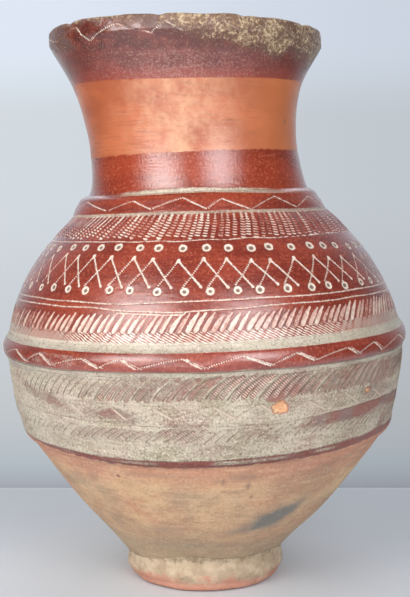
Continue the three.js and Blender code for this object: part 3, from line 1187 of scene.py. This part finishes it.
def chalky_layer(shader):
    """Pale crust over the belly and the ledges, thin where the chalk value is low."""
    fine = shader.noise(560, 5, 0.75)
    streaks = shader.noise(260, 4, 0.65, 0.2, 1)
    grain = shader.blend(0.35, shader.blend(0.4, fine, streaks), shader.noise(45, 5, 0.6, shift=3))
    mask = (grain - (1.02 - shader.attribute("chalk"))).fade(-0.16, 0.18)
    ledge = shader.height.fade(221, 227)
    colour = shader.tinted(
        shader.mix(shader.noise(30, 4, shift=5).fade(0.35, 0.65), "#b5a58c", "#d8ccb5"),
        (shader.noise(22, 5, 0.7, shift=9).fade(0.46, 0.66), 0.5, "#a8a486"),
        (shader.noise(30, 6, 0.7, shift=13).fade(0.42, 0.68), 0.7, "#b08c82"),
        (ledge, 0.6, "#cdc4ab"),
        (streaks.fade(0.48, 0.66), 0.6, "#ddd0ba"),
        (streaks.fade(0.44, 0.3), 0.5, "#83705f"),
        # Painted light: the crust is paler towards -X, the side that the left lamp lights.
        (shader.across.fade(-0.03, -0.13), 0.26, "#e6dcc8"),
        (fine.fade(0.46, 0.37), 0.8, "#6f5a49"),
        (fine.fade(0.54, 0.63), 0.85, "#eee4d0"),
    )
    shader.cover(mask * 0.95, colour, shader.blend(ledge, 0.72, 0.42))
    shader.relief += mask * shader.blend(ledge, 1.5, 0.5) * fine


def white_fill(shader):
    """White earth rubbed into the cuts, with comb teeth where the comb value runs along them."""
    fill = shader.attribute("fill")
    tooth = shader.math("SINE", shader.attribute("comb") * (2 * math.pi / TOOTH_PITCH)).fade(-0.5, 0.5)
    gap = shader.attribute("white") + (shader.noise(520, 4, 0.75) - 0.5) * 2.2
    mask = (gap + tooth * shader.attribute("combed")).fade(0.32, -0.3)
    lost = (fill + shader.noise(260, 5, 0.75)).fade(0.72, 1.12)
    rich = (fill + shader.noise(300, 2)).fade(0.95, 1.45)
    belly = shader.height.fade(212, 206)
    tone = shader.mix(belly, shader.mix(rich, "#dbac9a", "#e9d8c6"), "#dac6b2")
    shader.cover(mask * lost, tone, shader.blend(belly, 0.32, 0.75))
    shader.relief += mask * -0.2


def dark_cuts_and_painted_shadows(shader):
    """Dark marks without white: olive in the stamped circles, brown in the crust. Some of the brown ones are
    painted shadows beside pale strokes and under the belly cordon.
    """
    colour = shader.mix(shader.height.fade(215, 230), "#7c5f50", "#6b3429")
    colour = shader.mix(shader.height.fade(258, 264), colour, "#6e6350")
    shader.cover(shader.attribute("dark").fade(0.35, -0.3) * 0.8, colour, 0.85)


def olive_crust(shader):
    """Speckled tan crust on the lip, with dark brown under it."""
    fine = shader.noise(540, 6, 0.78)
    crust = shader.attribute("crust")
    under = (shader.noise(150, 4) + crust).fade(0.9, 1.5)
    limit = 0.97 - crust * 0.5 + (shader.noise(80, shift=3) - 0.5) * 0.35
    tone = shader.noise(300, 4).fade(0.4, 0.62)
    shader.cover(under * 0.8, "#663a26", 0.7)
    shader.cover((fine - limit).fade(-0.11, 0.09), shader.mix(tone, "#8c6d48", "#dcc298"), 0.92)
    shader.relief += under * fine


def fire_cloud(shader):
    """Smoke marks of the firing, and spilt stains."""
    ragged = shader.noise(90, 5, 0.65) * 1.5
    shader.cover(shader.math("MINIMUM", shader.attribute("soot") * ragged, 0.82), "#687070", 0.75)
    shader.cover(shader.math("MINIMUM", shader.attribute("stain") * ragged, 0.9), "#8d6f62", 0.75)


def fresh_chip(shader):
    """A chip that shows the bright body clay inside a rosy edge."""
    chip = shader.attribute("chip") + (shader.noise(260, 5, 0.8) - 0.5) * 6
    tone = shader.mix(shader.noise(300).fade(0.4, 0.6), "#eeb184", "#fbd3a6")
    shader.cover(chip.fade(1.8, 0) * 0.85, "#b87058", 0.8)
    shader.cover(chip.fade(0.6, -1.8), tone, 0.85)


# Layers of each finish, from the body out
LAYERS = {
    "foot_clay": (wiped_clay, foot_wash, fire_cloud, dark_cuts_and_painted_shadows),
    "bare_clay": (wiped_clay, red_slip, worn_slip, chalky_layer, fire_cloud, dark_cuts_and_painted_shadows),
    "chalky_clay": (wiped_clay, red_slip, worn_slip, chalky_layer, white_fill, dark_cuts_and_painted_shadows, fresh_chip),
    "red_slip": (wiped_clay, red_slip, orange_band, chalky_layer, white_fill, dark_cuts_and_painted_shadows),
    "orange_slip": (wiped_clay, red_slip, orange_band, dark_band, dark_cuts_and_painted_shadows),
    "dark_slip": (wiped_clay, red_slip, orange_band, dark_band, dark_rim, white_fill, olive_crust),
}


def make_material(slot):
    """The finish of a slot. Slips are burnished, and so they are glossier than bare clay."""
    shader = Shader(slot)
    for layer in LAYERS[slot]:
        layer(shader)
    return shader.finish(1 if slot.endswith("_slip") else 0.5)


materials = {slot: make_material(slot) for slot in LAYERS}


# Camera, light and floor


def add_camera():
    camera = add_object("camera", bpy.data.cameras.new("camera"))
    camera.data.lens = CAMERA_LENS
    camera.data.clip_start = 0.01
    camera.location = (0, -CAMERA_DISTANCE * MM, CAMERA_HEIGHT * MM)
    camera.rotation_euler = (math.radians(90 - CAMERA_PITCH), 0, 0)
    bpy.context.scene.camera = camera


LAMP_AIM = 0.25  # height of the point that the lamps face, in metres


def add_lamp(name, azimuth, elevation, distance, size, watts, colour):
    """A soft box aimed at the middle of the jar."""
    lamp = bpy.data.lights.new(name, "AREA")
    lamp.shape = "RECTANGLE"
    lamp.size, lamp.size_y = size
    lamp.energy = watts
    lamp.color = colour
    out = Vector((sin(azimuth), -cos(azimuth), 0)) * cos(elevation) + Vector((0, 0, sin(elevation)))
    holder = add_object(name, lamp)
    holder.location = Vector((0, 0, LAMP_AIM)) + out * distance
    holder.rotation_euler = out.to_track_quat("Z", "Y").to_euler()


def add_lamps():
    add_lamp("left_box", -40, 22, 1.5, (0.8, 1), 15.5, (1, 0.98, 0.95))
    add_lamp("right_box", 25, 22, 1.6, (0.7, 1), 12, (0.97, 0.98, 1))
    add_lamp("low_reflector", -12, -6, 1.25, (1, 0.24), 2.3, (1, 0.99, 0.98))
    add_lamp("back_fill", 180, 45, 1.8, (1.4, 1), 8, (1, 1, 1))


class Surroundings(Nodes):
    """Nodes that show plain colours to the camera and in reflections only."""

    def ray(self, kind):
        return self.node("ShaderNodeLightPath", {}, kind)

    def seen(self):
        either = self.math("MAXIMUM", self.ray("Is Camera Ray"), self.ray("Is Glossy Ray"))
        return self.math("MAXIMUM", either, self.ray("Is Transmission Ray"))

    def shaded(self, colour, x, y, near):
        """The colour, darker towards +X. In reflections the photographer's side of the room is dim."""
        side = (x / (abs(y) + near)).fade(-0.2, 0.2)
        room = (y / (abs(x) + abs(y))).fade(0.8, 0.3) * (1 - self.ray("Is Camera Ray"))
        colour = self.mix(side, colour, (0.82, 0.82, 0.83, 1), "MULTIPLY")
        return self.mix(room, colour, (0.13, 0.11, 0.1, 1), "MULTIPLY")

    def show(self, lit, shown, where, output):
        """Shows plain colours where the mask is 1, and elsewhere what the lamps light."""
        both = self.node("ShaderNodeMixShader", {0: where, 1: Value(self, lit.outputs[0]), 2: shown})
        self.feed(self.tree.nodes[output], {"Surface": both})


def add_world():
    world = bpy.data.worlds.new("studio")
    world.use_nodes = True
    nodes = Surroundings(world.node_tree)
    lit = world.node_tree.nodes["Background"]
    nodes.feed(lit, {"Color": "#dde4ee", "Strength": 0.38})
    x, y, z = nodes.axes("Generated")
    colour = nodes.mix(z.fade(0.07, 0.14), "#d3dae0", "#dfe8f4")
    shown = nodes.node("ShaderNodeBackground", {"Color": nodes.shaded(colour, x, y, 0.001), "Strength": 1})
    nodes.show(lit, shown, nodes.seen(), "World Output")
    bpy.context.scene.world = world


# The table ends here, and the backdrop beyond it shows these colours from its foot to its horizon
TABLE_EDGE = 0.27
BACKDROP = ((0, "#a0a5b0"), (0.1, "#a9afb7"), (0.33, "#b5bec5"), (0.6, "#c1c6ca"), (0.9, "#cbd1d6"),
            (1, "#d3dae0"))


def add_floor(reach=60):
    mesh = bpy.data.meshes.new("floor")
    corners = [(-reach, -reach, 0), (reach, -reach, 0), (reach, reach, 0), (-reach, reach, 0)]
    mesh.from_pydata(corners, [], [(0, 1, 2, 3)])
    floor = add_object("floor", mesh)
    material = bpy.data.materials.new("floor")
    material.use_nodes = True
    nodes = Surroundings(material.node_tree)
    x, y = nodes.axes("Object")[:2]
    lit = material.node_tree.nodes["Principled BSDF"]
    # The last 12 mm before the table's edge are paler: a painted highlight on its rounded edge.
    table = nodes.mix(y.fade(TABLE_EDGE - 0.012, TABLE_EDGE), "#d8dde3", "#dfe4e9")
    nodes.feed(lit, {"Base Color": table, "Roughness": 0.9, "Specular IOR Level": 0.2})
    away = nodes.math("MAXIMUM", abs(x), abs(y))
    ramp = nodes.node("ShaderNodeValToRGB", {0: 1 - TABLE_EDGE / away})
    stops = ramp.socket.node.color_ramp.elements
    for place, _ in BACKDROP[1:-1]:
        stops.new(place)
    for stop, (place, code) in zip(stops, BACKDROP):
        stop.color = rgb(code)
    shown = nodes.node("ShaderNodeEmission", {"Color": nodes.shaded(ramp, x, y, 1), "Strength": 1})
    far = nodes.math("MAXIMUM", away.fade(0.3, 1.2), nodes.math("GREATER_THAN", y, TABLE_EDGE))
    nodes.show(lit, shown, nodes.seen() * far, "Material Output")
    mesh.materials.append(material)


def build_jar():
    foot_ring()
    base_bowl()
    bottom = COURSES["base_bowl"]["top"]
    for node in list(COURSES)[1:]:
        coil(node, bottom)
        bottom = COURSES[node]["top"]
    rim_coil()
    for node, strip in CORDONS.items():
        cordon(node, **strip)


add_camera()
add_lamps()
add_world()
add_floor()
build_jar()
bpy.context.scene.view_settings.view_transform = "Standard"
